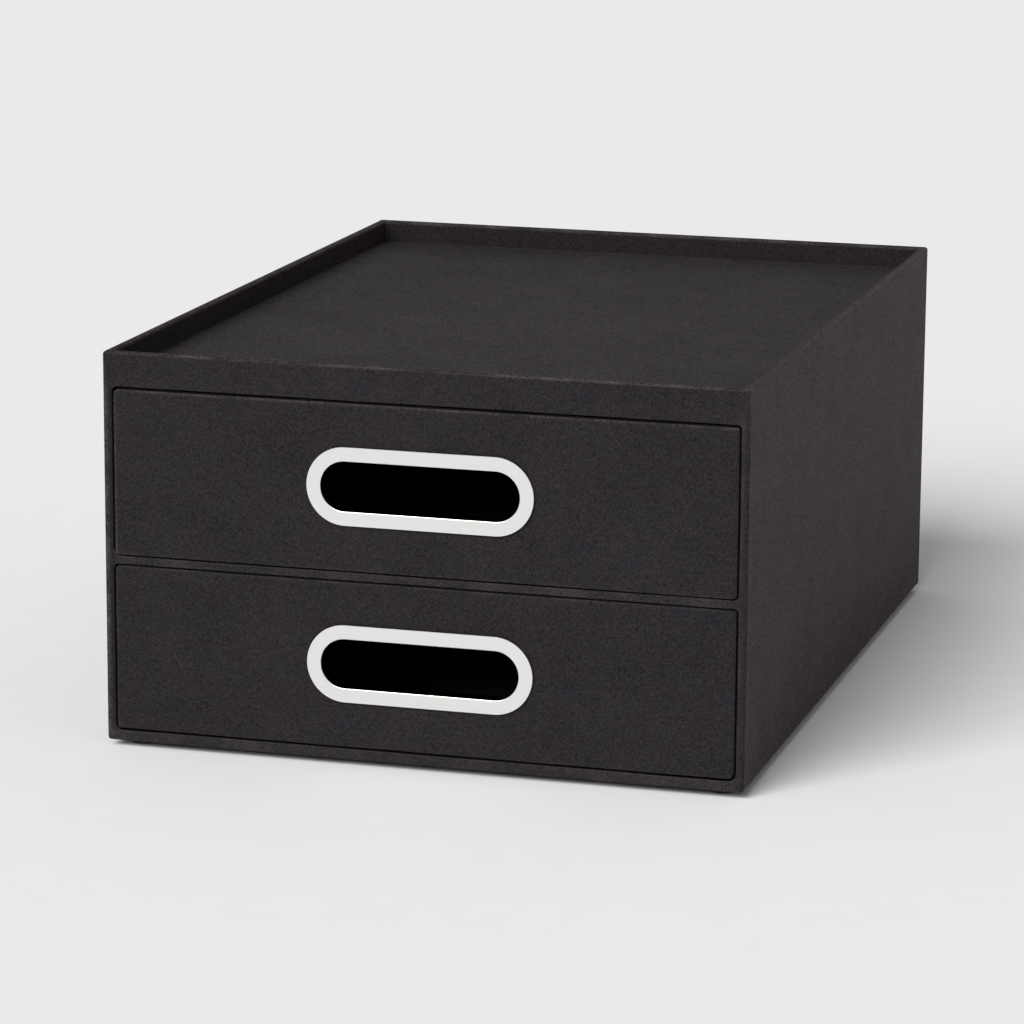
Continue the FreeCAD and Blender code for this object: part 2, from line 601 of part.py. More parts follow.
def drawer(level):
    """One drawer: boards, cloth, paper and its metal handle."""
    z = f"Layout.{level}_drawer_z"
    front = node(front_plate(level, "board", "Dims.skin", "Dims.front_board"))
    form = front_plate(level, "form", "0", "Layout.front_panel",
                       f"min(Dims.front_fold; {FOLD_LIMIT})")
    node(cut(f"{level}_front_cover", form, front))
    boards = drawer_walls(level, z)
    lining = drawer_lining(level, z)
    sheet = node(box(f"{level}_drawer_base_sheet", "Dims.drawer_turn_in - Layout.drawer_half",
                     "Layout.wall_y", z, "2 * (Layout.drawer_half - Dims.drawer_turn_in)",
                     "Layout.drawer_back_y - Dims.drawer_turn_in - Layout.wall_y", "Dims.skin"))
    tool = fuse(f"{level}_wall_inside", boards + [lining, sheet])
    node(cut(f"{level}_wall_cover", wall_form(level, z), tool))
    handle(level, f"{z} + Layout.slot_z")


def check_model():
    """Stop before writing anything if an object failed or a sub-part isn't one sound solid."""
    for piece in DOC.Objects:
        if "Invalid" in piece.State or "Error" in piece.State:
            raise RuntimeError(f"{piece.Label} failed: {piece.State}")
    for piece in NODES:
        shape = piece.Shape
        if shape.isNull() or not shape.isValid() or len(shape.Solids) != 1:
            raise RuntimeError(f"{piece.Label} isn't one valid solid")


def write_parts():
    """Write each sub-part to its own file."""
    os.makedirs("parts", exist_ok=True)
    for piece in NODES:
        piece.Shape.exportStep(f"parts/{piece.Label}.step")


fill_sheets()
case_covers(case_boards())
feet()
for drawer_level in ("upper", "lower"):
    drawer(drawer_level)
DOC.recompute()
check_model()
write_parts()
print(len(NODES), "sub-parts written")
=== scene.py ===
"""Looks of the drawer organizer: cloth, metal, paper and rubber round the fixed frame, in metres."""
import json
import math

import bmesh
import bpy
from mathutils import Matrix, Vector, noise


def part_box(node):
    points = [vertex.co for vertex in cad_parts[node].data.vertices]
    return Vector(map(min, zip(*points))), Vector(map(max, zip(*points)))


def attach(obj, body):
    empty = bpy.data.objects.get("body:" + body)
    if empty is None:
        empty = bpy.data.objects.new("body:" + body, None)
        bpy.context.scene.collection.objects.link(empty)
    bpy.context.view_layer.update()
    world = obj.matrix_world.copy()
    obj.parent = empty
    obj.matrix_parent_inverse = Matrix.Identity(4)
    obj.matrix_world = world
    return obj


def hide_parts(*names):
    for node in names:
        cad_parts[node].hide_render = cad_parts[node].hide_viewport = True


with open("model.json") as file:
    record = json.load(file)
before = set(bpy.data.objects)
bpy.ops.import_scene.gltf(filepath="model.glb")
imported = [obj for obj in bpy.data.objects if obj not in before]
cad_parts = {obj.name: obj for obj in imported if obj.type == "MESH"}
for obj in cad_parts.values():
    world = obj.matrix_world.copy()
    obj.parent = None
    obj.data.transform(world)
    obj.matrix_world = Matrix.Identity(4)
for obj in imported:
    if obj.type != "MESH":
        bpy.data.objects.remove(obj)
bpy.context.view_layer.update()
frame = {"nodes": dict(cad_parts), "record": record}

MM = 0.001
QUARTER = math.pi / 2

# The photograph's view: place, turn about Z, tilt below the horizon, roll, and a long lens
CAMERA_PLACE = (0.44262, -1.59359, 0.43157)
CAMERA_AZIMUTH = 15.951
CAMERA_ELEVATION = 12.616
CAMERA_ROLL = 0.378
CAMERA_LENS = 150.71
CAMERA_REACH = 30
SENSOR = 36

# Cloth: thickness, margins turned in, and the rounds of its folds
SKIN = 0.4 * MM
CASE_MARGIN = 14 * MM
DRAWER_MARGIN = 12 * MM
FACE_FOLD = 0.6 * MM
RIM_OUTER_FOLD = 1.2 * MM
RIM_INNER_FOLD = 1.5 * MM
BASE_SIDE_FOLD = 2.0 * MM
MOUTH_FOLD = 0.5 * MM
MOUTH_LEAD = 0.3 * MM
# How deep into a bay a mouth's painted crease shade stays full before it fades
PAINTED_SHADE_DEPTH = 4 * MM
FRONT_FOLD = 0.6 * MM
WALL_FOLD = 1.5 * MM
WALL_INNER_FOLD = 0.7 * MM
CORNER_FOLD = 0.45 * MM
INNER_CORNER_FOLD = 2 * CORNER_FOLD
HEM = 0.8 * MM
LEAST_RADIUS = 0.3 * MM
LEAST_WALL_RADIUS = 0.5 * MM
CLOTH_SOLID = 0.3 * MM

# Hole cut in each front's cloth, hidden under the handle's rim
CUT_LENGTH = 77 * MM
CUT_HEIGHT = 21 * MM

# How far the folds wander, over what length, and from where in the noise
FOLD_WANDER = 0.10 * MM
MOUTH_WANDER = 0.12 * MM
RIM_WAVE = 30 * MM
MOUTH_WAVE = 26 * MM
FRONT_WAVE = 24 * MM
WALL_WAVE = 28 * MM
RIM_SEED = 0.0
TRAY_SEED = 2.0
MOUTH_SEED = 4.0
WALL_SEED = 6.0
FRONT_SEED = 9.0
SEED_SLANT = 3.1
SEED_HEIGHT = 7.7

# Corner radii in millimetres as seen from the front: low right, high right, high left, low left
FRONT_CORNERS = {"upper": (1.6, 1.1, 2.1, 0.9), "lower": (2.4, 1.2, 1.8, 1.0)}
MOUTH_CORNERS = {"upper": (2.1, 1.4, 2.2, 3.0), "lower": (3.0, 1.7, 1.8, 2.3)}

# How worn the folds are at their middle (1 is pale), and the painted shade in their creases (-1 is black)
MOUTH_FOLD_WORN = 0.3
FRONT_FOLD_WORN = 0.35
BEHIND_FOLD_WORN = 0.2
LOW_FOLD_WORN = 0.6
WALL_FOLDS_WORN = 0.7
MOUTH_PAINTED_SHADE = -1.0
FRONT_PAINTED_SHADE = -0.8

# What is added to the wear at the right, top, left and bottom edges of fronts and mouths (below zero it is
# painted shade), and how much of the painted crease shade each edge of a mouth has
FRONT_WEAR_AND_SHADE = {"upper": (-0.18, 0.60, 0.60, 0.20), "lower": (-0.18, 0.20, 0.25, 0.0)}
MOUTH_WEAR_AND_SHADE = {"upper": (0.32, 0.05, -0.30, 0.32), "lower": (0.32, 0.32, -0.30, 0.32)}
MOUTH_SHADE_SHARE = (1.0, 1.0, 0.4, 1.0)

# How worn the case is along its outer edges: the front's left one at its fold and beside it, and its lower
# one above the fold; painted shade at the front's right fold and under its lower fold; a painted sheen beside
# the sides' upright front edges
LEFT_WORN = 1.2
LEFT_WORN_BESIDE = 0.75
RIGHT_PAINTED_SHADE = -0.15
BASE_WORN = 0.28
UNDER_PAINTED_SHADE = -0.40
SIDE_PAINTED_SHEEN = 0.40

# How far the turned-in cloth narrows a mouth at each side, and how far it lies under the bay's floor and roof
MOUTH_TIGHT = 0.15 * MM
MOUTH_SAG = {"upper": (0.0, 0.0), "lower": (0.25 * MM, 0.35 * MM)}

# The tray's cloth: how far short of the walls, how it buckles, and its painted shade, which grows towards its
# back wall
TRAY_GAP = 0.25 * MM
TRAY_WAVE = 45 * MM
TRAY_BUCKLE = 0.06 * MM
TRAY_PAINTED_SHADE = 0.03
TRAY_PAINTED_SHADE_BACK = 0.30
TRAY_PAINTED_SHADE_REACH = 140 * MM

# Mesh steps, and how much large faces count in the weighted normals
WALL_STEPS = 6
ARC_STEPS = 6
FOLD_STEPS = 5
ACROSS_STEPS = 48
UP_STEPS = 16
DEEP_STEPS = 66
TRAY_STEPS_ACROSS = 60
TRAY_STEPS_DEEP = 84
SLOT_STEPS = 40
SLOT_RUN_STEPS = 24
FACE_WEIGHT = 100


def low_high(*nodes):
    """The box round several CAD nodes."""
    boxes = [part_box(node) for node in nodes]
    low = Vector([min(box[0][axis] for box in boxes) for axis in range(3)])
    high = Vector([max(box[1][axis] for box in boxes) for axis in range(3)])
    return low, high


def run_parts(count, length):
    """Where points fall along a straight run: evenly, with one close to each end."""
    hem = min(HEM / length, 0.5 / count) if length else 0.0
    return [hem] + [step / count for step in range(1, count)] + [1 - hem]


def rounded_path(half, low, high, radii, across, up, grow=0.0):
    """Points round a rectangle, with outward normals, anticlockwise from the low right corner."""
    half, low, high = half + grow, low - grow, high + grow
    radii = [max(radius + grow, LEAST_RADIUS) for radius in radii]
    centres = [(half - radii[0], low + radii[0]), (half - radii[1], high - radii[1]),
               (radii[2] - half, high - radii[2]), (radii[3] - half, low + radii[3])]
    arcs = []
    for number, ((u, v), radius) in enumerate(zip(centres, radii)):
        turn = [(number - 1 + step / ARC_STEPS) * QUARTER for step in range(ARC_STEPS + 1)]
        arcs.append([(u + radius * math.cos(t), v + radius * math.sin(t), math.cos(t), math.sin(t))
                     for t in turn])
    points = []
    for number, arc in enumerate(arcs):
        points += arc
        after = arcs[(number + 1) % 4][0]
        length = math.dist(arc[-1][:2], after[:2])
        for part in run_parts(up if number % 2 == 0 else across, length):
            points.append(tuple(a + (b - a) * part for a, b in zip(arc[-1], after)))
    return points


def stadium_path(length, height, middle):
    """Points round a slot, with outward normals, anticlockwise from its low right."""
    reach = (length - height) / 2
    points = []
    for side in (0, 1):
        for step in range(SLOT_STEPS + 1):
            t = (side * 2 - 1 + 2 * step / SLOT_STEPS) * QUARTER
            u = (reach if side == 0 else -reach) + height / 2 * math.cos(t)
            points.append((u, middle + height / 2 * math.sin(t), math.cos(t), math.sin(t)))
        sign = 1 if side == 0 else -1
        for step in range(1, SLOT_RUN_STEPS):
            u = sign * reach * (1 - 2 * step / SLOT_RUN_STEPS)
            points.append((u, middle + sign * height / 2, 0, sign))
    return points


def wander(place, wave, size, seed):
    """A smooth wandering number for a place, which keeps a fold from being ruler-straight."""
    return size * noise.noise(Vector(place) / wave + Vector((seed, SEED_SLANT * seed, SEED_HEIGHT)))


class Sheet:
    """A mesh in the making, with a value named wear on each point: on the cloth wear, a painted sheen or,
    below zero, painted shade; on the handle its finish.
    """

    def __init__(self):
        self.mesh = bmesh.new()
        self.wear = self.mesh.verts.layers.float.new("wear")

    def point(self, place, wear=0.0):
        vert = self.mesh.verts.new(place)
        vert[self.wear] = wear
        return vert

    def face(self, verts, flip=False):
        if flip:
            verts = verts[::-1]
        self.mesh.faces.new(verts)

    def grid(self, rows, closed=False, flip=False, skip=None):
        """Quads between rows of points; closed joins each row's ends, skip leaves out some quads."""
        for level, (row, after) in enumerate(zip(rows, rows[1:])):
            count = len(row) if closed else len(row) - 1
            for number in range(count):
                following = (number + 1) % len(row)
                if skip and skip(level, number):
                    continue
                self.face([row[number], row[following], after[following], after[number]], flip)

    def fill(self, loops, normal):
        """Flat triangles between an outer loop and the holes in it."""
        edges = []
        for loop in loops:
            for one, other in zip(loop, loop[1:] + loop[:1]):
                edges.append(self.mesh.edges.get((one, other)) or self.mesh.edges.new((one, other)))
        made = bmesh.ops.triangle_fill(self.mesh, use_beauty=True, use_dissolve=False,
                                       edges=edges, normal=normal)
        for item in made["geom"]:
            if isinstance(item, bmesh.types.BMFace):
                item.normal_update()
                if item.normal.dot(Vector(normal)) < 0:
                    item.normal_flip()

    def finish(self, name, body, material, thickness=None, replaces=()):
        """Turn the sheet into a piece that rides on a body."""
        mesh = bpy.data.meshes.new(name)
        self.mesh.to_mesh(mesh)
        self.mesh.free()
        mesh.shade_smooth()
        mesh.materials.append(material)
        piece = bpy.data.objects.new(name, mesh)
        bpy.context.collection.objects.link(piece)
        if thickness:
            shell = piece.modifiers.new("thickness", "SOLIDIFY")
            shell.thickness = thickness
            shell.offset = -1
            shell.use_even_offset = True
        even = piece.modifiers.new("normals", "WEIGHTED_NORMAL")
        even.weight = FACE_WEIGHT
        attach(piece, body)
        if replaces:
            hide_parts(*replaces)


def quarter_round(radius):
    """A quarter circle from (0, radius) to (radius, 0): how far in, how far short of the top, and wear."""
    turns = [step / FOLD_STEPS * QUARTER for step in range(FOLD_STEPS + 1)]
    return [(radius * (1 - math.cos(t)), radius * (1 - math.sin(t)), math.sin(2 * t)) for t in turns]


def mouth_section():
    """Face, fold and turned-in margin of a mouth: outward offset, depth and wear, with painted shade in the
    crease.
    """
    bend = [(rise, into, MOUTH_FOLD_WORN * wear if rise > into else MOUTH_PAINTED_SHADE)
            for into, rise, wear in quarter_round(MOUTH_FOLD)]
    return [(MOUTH_FOLD + MOUTH_LEAD, 0.0, 0.0), *bend,
            (0.0, PAINTED_SHADE_DEPTH, MOUTH_PAINTED_SHADE), (0.0, CASE_MARGIN, 0.0)]


def edge_wear_and_shade(worn, out_x, out_z):
    """A value for an edge that faces a given way, blended from the values for right, up, left and down."""
    right, up, left, down = worn
    return (right * max(out_x, 0.0) + up * max(out_z, 0.0)
            + left * max(-out_x, 0.0) + down * max(-out_z, 0.0))


# Frame sizes, read from the CAD
case_low, case_high = low_high("case_front_cover", "case_outer_cover")
FRONT_Y = case_low.y
BACK_Y = case_high.y
HALF = case_high.x
BASE_Z = case_low.z
RIM_Z = case_high.z
_, tray_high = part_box("tray_floor_cover")
TRAY_Z = tray_high[2]
PANEL = HALF - tray_high[0]
BAY_HALF = tray_high[0]


def bay_heights(level):
    """Floor and roof of a bay, over its cloth."""
    low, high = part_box(f"{level}_bay_lining")
    return low[2] + SKIN, high[2] - SKIN


class Shader:
    """A procedural material in the making, with short ways to add nodes."""

    def __init__(self, name):
        self.material = bpy.data.materials.new(name)
        self.material.use_nodes = True
        self.tree = self.material.node_tree
        self.bsdf = self.tree.nodes["Principled BSDF"]
        self.places = self.tree.nodes.new("ShaderNodeTexCoord").outputs["Object"]

    def set(self, **values):
        """Constants on the shader's own sockets."""
        for name, value in values.items():
            self.bsdf.inputs[name.replace("_", " ")].default_value = value

    def link(self, value, socket):
        if isinstance(value, bpy.types.NodeSocket):
            self.tree.links.new(value, socket)
        else:
            socket.default_value = value

    def math(self, operation, one, other=0.0, third=0.0):
        made = self.tree.nodes.new("ShaderNodeMath")
        made.operation = operation
        for socket, value in zip(made.inputs, (one, other, third)):
            self.link(value, socket)
        return made.outputs[0]

    def clamp_math(self, operation, one, other=0.0, third=0.0):
        made = self.math(operation, one, other, third)
        made.node.use_clamp = True
        return made

    def combine(self, x=0.0, y=0.0, z=0.0):
        made = self.tree.nodes.new("ShaderNodeCombineXYZ")
        for socket, value in zip(made.inputs, (x, y, z)):
            self.link(value, socket)
        return made.outputs[0]

    def split(self, vector):
        made = self.tree.nodes.new("ShaderNodeSeparateXYZ")
        self.link(vector, made.inputs[0])
        return made.outputs

    def stretch(self, vector, scale):
        made = self.tree.nodes.new("ShaderNodeVectorMath")
        made.operation = "MULTIPLY"
        self.link(vector, made.inputs[0])
        made.inputs[1].default_value = scale
        return made.outputs[0]

    def noise(self, vector, scale, detail=2.0, rough=0.5):
        made = self.tree.nodes.new("ShaderNodeTexNoise")
        self.link(vector, made.inputs["Vector"])
        made.inputs["Scale"].default_value = scale
        made.inputs["Detail"].default_value = detail
        made.inputs["Roughness"].default_value = rough
        return made.outputs["Fac"]

    def range(self, value, low, high, to_low=0.0, to_high=1.0):
        made = self.tree.nodes.new("ShaderNodeMapRange")
        self.link(value, made.inputs["Value"])
        for socket, number in zip(("From Min", "From Max", "To Min", "To Max"),
                                  (low, high, to_low, to_high)):
            made.inputs[socket].default_value = number
        return made.outputs["Result"]

    def mix(self, part, one, other):
        """A blend of two colours."""
        made = self.tree.nodes.new("ShaderNodeMix")
        made.data_type = "RGBA"
        self.link(part, made.inputs["Factor"])
        for socket, value in zip((6, 7), (one, other)):
            self.link(value if isinstance(value, bpy.types.NodeSocket) else (*value, 1.0),
                      made.inputs[socket])
        return made.outputs[2]

    def attribute(self, name):
        made = self.tree.nodes.new("ShaderNodeAttribute")
        made.attribute_name = name
        return made.outputs["Fac"]

    def bump(self, height, distance, strength=1.0):
        made = self.tree.nodes.new("ShaderNodeBump")
        self.link(height, made.inputs["Height"])
        made.inputs["Distance"].default_value = distance
        made.inputs["Strength"].default_value = strength
        self.tree.links.new(made.outputs["Normal"], self.bsdf.inputs["Normal"])

    def face_places(self):
        """Two coordinates in the plane of the face: across and up, whichever way it looks."""
        x, y, z = self.split(self.places)
        geometry = self.tree.nodes.new("ShaderNodeNewGeometry")
        facing = [self.math("ABSOLUTE", part) for part in self.split(geometry.outputs["True Normal"])]
        sideways = self.math("GREATER_THAN", facing[0], self.math("MAXIMUM", facing[1], facing[2]))
        level = self.math("GREATER_THAN", facing[2], self.math("MAXIMUM", facing[0], facing[1]))
        across = self.math("ADD", self.math("MULTIPLY", x, self.math("SUBTRACT", 1.0, sideways)),
                           self.math("MULTIPLY", y, sideways))
        up = self.math("ADD", self.math("MULTIPLY", z, self.math("SUBTRACT", 1.0, level)),
                       self.math("MULTIPLY", y, level))
        return across, up


# Where most of a noise's values lie
NOISE_SPAN = (0.3, 0.7)

# Linen bookcloth: thread pitch across and up, how far apart two threads read their noise, how many slubs
# there are to the metre of thread, where the weft's noise starts, and the colours
WARP_PITCH = 0.47 * MM
WEFT_PITCH = 0.52 * MM
THREADS_APART = 17.3
WARP_SLUBS = 900.0
WEFT_SLUBS = 760.0
WEFT_SEED = 5.0
CLOTH_DARK = (0.0025, 0.0022, 0.0024)
CLOTH_LIGHT = (0.0300, 0.0276, 0.0288)
CLOTH_WARM = (0.0350, 0.0258, 0.0282)
CLOTH_COOL = (0.0245, 0.0256, 0.0315)
CLOTH_WORN = (0.0850, 0.0740, 0.0760)
# Near-black colour of painted shade in creases and gaps
CLOTH_PAINTED_SHADE = (0.0012, 0.0011, 0.0011)

# Its noises: scale in waves to the metre, then detail and roughness
DRIFT_NOISE = (90, 1)
MOTTLE_NOISE = (800, 2, 0.6)
CLOUD_NOISE = (40, 3, 0.6)
RIB_NOISE = (130, 2)
HUE_NOISE = (150, 2)
FRAY_NOISES = ((1300, 1), (75, 2))

# Its weave: how far the threads drift, how wide a crossing blends, how round the threads are, and how much
# the warp's and the weft's slubs show where the warp lies under and over
DRIFT = 1.6
CROSSING = 0.3
THREAD_ROUND = 0.6
WARP_SHOWN = (0.22, 1.0)
WEFT_SHOWN = (0.78, 0.0)

# Its ranges, from and to: mottling, clouds, ribs, lit threads, warm and cool patches, and frayed wear
MOTTLE_RANGE = (0.33, 0.67)
CLOUD_RANGE = (0.2, 0.8)
RIB_RANGE = (0.42, 0.60, 0.0, 0.5)
LIT_RANGE = (0.0, 1.0, 0.40, 1.15)
WARM_RANGE = (0.52, 0.70, 0.0, 0.7)
COOL_RANGE = (0.46, 0.30, 0.0, 0.7)
FRAY_RANGE = (0.88, 1.30, 0.08, 1.1)

# What the slubs, mottling, clouds and ribs add to its tone, and how strongly wear and painted crease shade
# colour it
SLUB_PART = 0.68
MOTTLE_PART = 0.14
CLOUD_PART = 0.20
RIB_PART = 0.15
WORN_PART = 0.68
PAINTED_SHADE_PART = 0.85

# Its gloss, and its relief
CLOTH_ROUGH = (0.78, 0.6)
CLOTH_SHEEN_RANGE = (0.1, 0.8, 0.0, 0.215)
CLOTH_SHEEN_ROUGH = 0.3
CLOTH_GLOSS = 0.12
CLOTH_GLOSS_TINT = (1.0, 0.82, 0.93, 1.0)
SLUB_RISE = 0.5
CLOTH_RELIEF = (0.06 * MM, 0.6)

# Sheets: dye tint, sheen tint, and how close the slubs lie, which differ for the fronts, the case's outer
# sheet and the tray
FRONT_TINTS = ((1.0, 1.0, 1.0), (1.0, 0.79, 0.92), 1.0)
CASE_TINTS = ((1.03, 0.93, 1.0), (1.0, 0.70, 0.88), 0.8)
TRAY_TINTS = ((0.96, 0.98, 1.0), (0.97, 0.84, 0.97), 0.65)


def bookcloth(name, dye, sheen, slubs):
    """Plain-woven linen: two sets of uneven threads, slubs, a soft sheen, worn folds, and painted shade where
    the wear value is below zero.
    """
    made = Shader(name)
    light, warm, cool = [[part * share for part, share in zip(colour, dye)]
                         for colour in (CLOTH_LIGHT, CLOTH_WARM, CLOTH_COOL)]
    across, up = made.face_places()
    drift = made.math("MULTIPLY", made.noise(made.places, *DRIFT_NOISE), DRIFT)
    u = made.math("ADD", made.math("DIVIDE", across, WARP_PITCH), drift)
    v = made.math("ADD", made.math("DIVIDE", up, WEFT_PITCH), drift)
    wave_u = made.math("SINE", made.math("MULTIPLY", u, math.pi))
    wave_v = made.math("SINE", made.math("MULTIPLY", v, math.pi))
    over = made.range(made.math("MULTIPLY", wave_u, wave_v), -CROSSING, CROSSING)
    under = made.math("SUBTRACT", 1.0, over)
    warp = made.math("POWER", made.math("ABSOLUTE", wave_u), THREAD_ROUND)
    weft = made.math("POWER", made.math("ABSOLUTE", wave_v), THREAD_ROUND)
    height = made.math("ADD", made.math("MULTIPLY", warp, over), made.math("MULTIPLY", weft, under))
    warp_tone = made.noise(made.combine(made.math("MULTIPLY", made.math("FLOOR", u), THREADS_APART),
                                        made.math("MULTIPLY", up, slubs * WARP_SLUBS)), 1.0, 1)
    weft_tone = made.noise(made.combine(made.math("MULTIPLY", across, slubs * WEFT_SLUBS),
                                        made.math("MULTIPLY", made.math("FLOOR", v), THREADS_APART),
                                        WEFT_SEED), 1.0, 1)
    tone = made.math("ADD", made.math("MULTIPLY", warp_tone, made.range(over, 0.0, 1.0, *WARP_SHOWN)),
                     made.math("MULTIPLY", weft_tone, made.range(over, 0.0, 1.0, *WEFT_SHOWN)))
    tone = made.range(tone, *NOISE_SPAN)
    mottle = made.range(made.noise(made.places, *MOTTLE_NOISE), *MOTTLE_RANGE)
    cloud = made.range(made.noise(made.places, *CLOUD_NOISE), *CLOUD_RANGE)
    rib = made.range(made.noise(made.places, *RIB_NOISE), *RIB_RANGE)
    blend = made.math("ADD", made.math("MULTIPLY", tone, SLUB_PART),
                      made.math("MULTIPLY", mottle, MOTTLE_PART))
    blend = made.math("ADD", blend, made.math("MULTIPLY", cloud, CLOUD_PART))
    blend = made.math("ADD", blend, made.math("MULTIPLY", made.math("MULTIPLY", wave_u, rib), RIB_PART))
    blend = made.math("MULTIPLY", blend, made.range(height, *LIT_RANGE))
    hue = made.noise(made.places, *HUE_NOISE)
    thread = made.mix(made.range(hue, *WARM_RANGE), light, warm)
    thread = made.mix(made.range(hue, *COOL_RANGE), thread, cool)
    colour = made.mix(blend, CLOTH_DARK, thread)
    wear = made.attribute("wear")
    fray = made.math("ADD", *[made.noise(made.places, *values) for values in FRAY_NOISES])
    worn = made.math("MULTIPLY", wear, made.range(fray, *FRAY_RANGE))
    colour = made.mix(made.clamp_math("MULTIPLY", worn, WORN_PART), colour, CLOTH_WORN)
    # Painted shade: below zero the wear value darkens the cloth towards near black
    colour = made.mix(made.clamp_math("MULTIPLY", wear, -PAINTED_SHADE_PART), colour, CLOTH_PAINTED_SHADE)
    made.link(colour, made.bsdf.inputs["Base Color"])
    made.link(made.range(tone, 0.0, 1.0, *CLOTH_ROUGH), made.bsdf.inputs["Roughness"])
    # The sheen is taken away where the wear value carries painted shade
    soft = made.math("MULTIPLY", made.range(blend, *CLOTH_SHEEN_RANGE), made.range(wear, -1.0, 0.0))
    made.link(soft, made.bsdf.inputs["Sheen Weight"])
    made.set(Specular_IOR_Level=CLOTH_GLOSS, Specular_Tint=CLOTH_GLOSS_TINT,
             Sheen_Roughness=CLOTH_SHEEN_ROUGH, Sheen_Tint=(*sheen, 1.0))
    made.bump(made.math("ADD", height, made.math("MULTIPLY", tone, SLUB_RISE)), *CLOTH_RELIEF)
    return made.material


# Handle metal: colours of the brushed face, its streaks, the polished bevel and the sawn edge (which carry
# wear -1 and 1), how straight ahead the face looks, its streaks' stretch and noise, and its gloss
METAL_FACE = (0.895, 0.890, 0.880)
METAL_LINE = (0.785, 0.780, 0.770)
METAL_EDGE = (0.90, 0.86, 0.78)
METAL_DULL = (0.26, 0.25, 0.235)
POLISHED, BRUSHED, SAWN = -1, 0, 1
AHEAD_RANGE = (-0.985, -0.90, 1.0, 0.0)
STREAK_STRETCH = (22.0, 400.0, 3600.0)
STREAK_NOISE = (1.0, 4, 0.7)
STREAK_PART = 0.5
SHADE_STRETCH = (5.0, 60.0, 420.0)
SHADE_NOISE = (1.0, 2)
FACE_ROUGH = (0.30, 0.38)
EDGE_ROUGH = (0.06, 0.40)
METAL_GRAIN = 0.35
METAL_RELIEF = (0.004 * MM, 0.5)


def handle_metal():
    """Aluminium: the flat face brushed lengthwise, the slot's bevel polished, the sawn outer edge dull."""
    made = Shader("handle_metal")
    brushed = made.noise(made.stretch(made.places, STREAK_STRETCH), *STREAK_NOISE)
    wide = made.noise(made.stretch(made.places, SHADE_STRETCH), *SHADE_NOISE)
    geometry = made.tree.nodes.new("ShaderNodeNewGeometry")
    front = made.range(made.split(geometry.outputs["Normal"])[1], *AHEAD_RANGE)
    streak = made.math("MULTIPLY", made.range(brushed, *NOISE_SPAN), front)
    face = made.mix(made.math("MULTIPLY", streak, STREAK_PART), METAL_FACE, METAL_LINE)
    dull = made.attribute("wear")
    colour = made.mix(dull, made.mix(front, METAL_EDGE, face), METAL_DULL)
    made.link(colour, made.bsdf.inputs["Base Color"])
    rough_face = made.math("MULTIPLY", front, made.range(wide, *NOISE_SPAN, *FACE_ROUGH))
    rough_edge = made.math("MULTIPLY", made.math("SUBTRACT", 1.0, front),
                           made.range(dull, POLISHED, SAWN, *EDGE_ROUGH))
    made.link(made.math("ADD", rough_face, rough_edge), made.bsdf.inputs["Roughness"])
    made.set(Metallic=1.0, Anisotropic=METAL_GRAIN)
    made.bump(streak, *METAL_RELIEF)
    return made.material


# Lining paper: colours, the fibres' stretch, the noises, what fibres and clouds add, their range, and gloss
PAPER_DARK = (0.013, 0.0128, 0.0135)
PAPER_LIGHT = (0.027, 0.026, 0.026)
FIBRE_STRETCH = (1.0, 0.35, 1.0)
FIBRE_NOISE = (1300, 4, 0.7)
FIBRE_PART = 0.6
PAPER_CLOUD_NOISE = (45, 2)
PAPER_CLOUD_PART = 0.4
PAPER_RANGE = (0.35, 0.65)
PAPER_ROUGH = (0.74, 0.9)
PAPER_GLOSS = 0.3
PAPER_RELIEF = (0.03 * MM, 0.6)


def lining_paper():
    """Black uncoated paper with soft fibres."""
    made = Shader("lining_paper")
    fibre = made.noise(made.stretch(made.places, FIBRE_STRETCH), *FIBRE_NOISE)
    cloud = made.noise(made.places, *PAPER_CLOUD_NOISE)
    part = made.math("ADD", made.math("MULTIPLY", fibre, FIBRE_PART),
                     made.math("MULTIPLY", cloud, PAPER_CLOUD_PART))
    colour = made.mix(made.range(part, *PAPER_RANGE), PAPER_DARK, PAPER_LIGHT)
    made.link(colour, made.bsdf.inputs["Base Color"])
    made.link(made.range(fibre, *NOISE_SPAN, *PAPER_ROUGH), made.bsdf.inputs["Roughness"])
    made.set(Specular_IOR_Level=PAPER_GLOSS)
    made.bump(fibre, *PAPER_RELIEF)
    return made.material


# Grey board: colours of the pulp and its flecks, the noises, where a fleck shows, and the gloss
PULP_DARK = (0.25, 0.235, 0.205)
PULP_LIGHT = (0.37, 0.35, 0.31)
FLECK = (0.13, 0.12, 0.10)
PULP_NOISE = (900, 4, 0.65)
FLECK_NOISE = (2200, 1)
FLECK_RANGE = (0.66, 0.74)
PULP_ROUGH = (0.8, 0.95)
PULP_RELIEF = (0.05 * MM, 0.7)


def grey_board():
    """Bare grey board with pulp flecks."""
    made = Shader("grey_board")
    pulp = made.noise(made.places, *PULP_NOISE)
    fleck = made.range(made.noise(made.places, *FLECK_NOISE), *FLECK_RANGE)
    colour = made.mix(made.range(pulp, *NOISE_SPAN), PULP_DARK, PULP_LIGHT)
    colour = made.mix(fleck, colour, FLECK)
    made.link(colour, made.bsdf.inputs["Base Color"])
    made.link(made.range(pulp, *NOISE_SPAN, *PULP_ROUGH), made.bsdf.inputs["Roughness"])
    made.bump(pulp, *PULP_RELIEF)
    return made.material


# Foot rubber: clean and dusty colour, the noises, where dust lies, and the gloss
RUBBER_CLEAN = (0.012, 0.012, 0.0125)
RUBBER_DUSTY = (0.035, 0.034, 0.033)
RUBBER_NOISE = (1800, 3, 0.6)
DUST_NOISE = (160, 3, 0.6)
DUST_RANGE = (0.45, 0.75)
RUBBER_ROUGH = (0.55, 0.72)
RUBBER_RELIEF = (0.02 * MM, 0.5)


